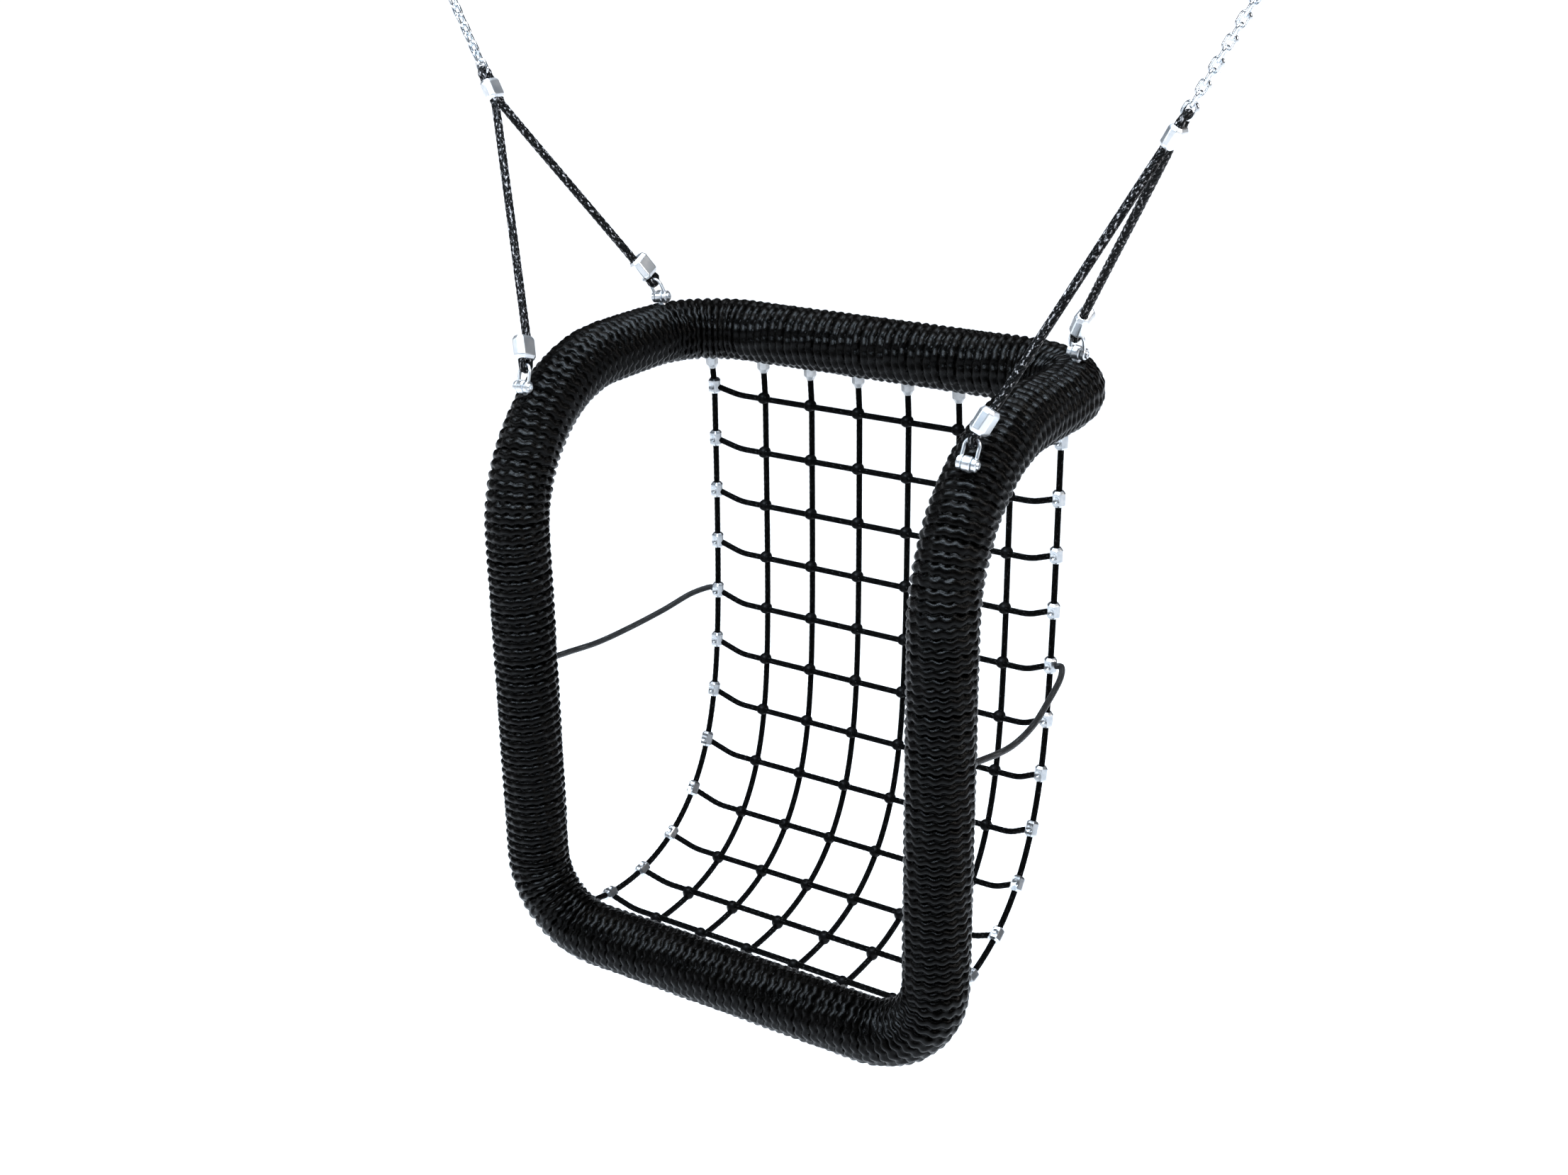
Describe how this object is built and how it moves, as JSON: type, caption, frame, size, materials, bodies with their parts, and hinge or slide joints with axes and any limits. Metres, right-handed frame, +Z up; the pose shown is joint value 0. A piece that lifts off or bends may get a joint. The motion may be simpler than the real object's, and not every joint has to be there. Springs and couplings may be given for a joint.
{
  "type": "hanging net swing seat",
  "caption": "Hanging swing seat: a rope net in a closed ring wound with rope, with slings, shackles and a chain on each side.",
  "frame": {"origin": "on the swing axis, midway between the two hanger pins", "axes": "+X along the swing axis through both hanger pins, from the seat's left hanger to its right one, +Y behind the sitter, +Z up"},
  "size_m": [1.6852, 0.6658, 1.8914],
  "materials": {
    "winding_rope": "glossy black rope, wound tightly",
    "net_rope": "black braided rope over a steel core",
    "sling_rope": "black braided rope with grey flecks",
    "cord_rope": "black braided rope",
    "aluminium": "pressed, satin",
    "zinc_steel": "bright zinc",
    "tube_metal": "plain tube, hidden under the winding"
  },
  "bodies": {
    "hangers": {"left_hanger_bracket": "zinc_steel", "left_hanger_pin": "zinc_steel", "right_hanger_bracket": "zinc_steel", "right_hanger_pin": "zinc_steel"},
    "left_chain": {"left_hanger_eye": "zinc_steel", "left_chain": "zinc_steel"},
    "right_chain": {"right_hanger_eye": "zinc_steel", "right_chain": "zinc_steel"},
    "seat": {"frame_tube": "tube_metal", "winding_front_bar": "winding_rope", "winding_rear": "winding_rope", "winding_left_leg": "winding_rope", "winding_left_bend": "winding_rope", "winding_right_leg": "winding_rope", "winding_right_bend": "winding_rope", "left_front_lug": "zinc_steel", "left_front_bow": "zinc_steel", "left_front_pin": "zinc_steel", "left_front_ferrule": "aluminium", "left_rear_lug": "zinc_steel", "left_rear_bow": "zinc_steel", "left_rear_pin": "zinc_steel", "left_rear_ferrule": "aluminium", "left_top_ferrule": "aluminium", "left_sling": "sling_rope", "left_end_link": "zinc_steel", "left_side_cord": "cord_rope", "right_front_lug": "zinc_steel", "right_front_bow": "zinc_steel", "right_front_pin": "zinc_steel", "right_front_ferrule": "aluminium", "right_rear_lug": "zinc_steel", "right_rear_bow": "zinc_steel", "right_rear_pin": "zinc_steel", "right_rear_ferrule": "aluminium", "right_top_ferrule": "aluminium", "right_sling": "sling_rope", "right_end_link": "zinc_steel", "right_side_cord": "cord_rope", "net_rope_1": "net_rope", "net_rope_2": "net_rope", "net_rope_3": "net_rope", "net_rope_4": "net_rope", "net_rope_5": "net_rope", "net_rope_6": "net_rope", "net_rope_7": "net_rope", "net_rope_8": "net_rope", "cross_rope_1": "net_rope", "cross_rope_2": "net_rope", "cross_rope_3": "net_rope", "cross_rope_4": "net_rope", "cross_rope_5": "net_rope", "cross_rope_6": "net_rope", "cross_rope_7": "net_rope", "cross_rope_8": "net_rope", "cross_rope_9": "net_rope", "cross_rope_10": "net_rope", "cross_rope_11": "net_rope", "cross_rope_12": "net_rope"}
  },
  "joints": [
    {"name": "swing", "type": "hinge", "parent": "hangers", "child": "left_chain", "pos_m": [-0.7926, 0, 0], "axis": [1, 0, 0], "range_deg": [-50, 50]},
    {"name": "right_swing", "type": "hinge", "parent": "hangers", "child": "right_chain", "pos_m": [0.7926, 0, 0], "axis": [1, 0, 0], "range_deg": [-50, 50]},
    {"name": "seat_tilt", "type": "hinge", "parent": "left_chain", "child": "seat", "pos_m": [-0.6938, 0, -0.2024], "axis": [1, 0, 0], "range_deg": [-20, 20]}
  ],
  "couplings": [
    {"joint": "right_swing", "follows": "swing", "ratio": 1}
  ]
}
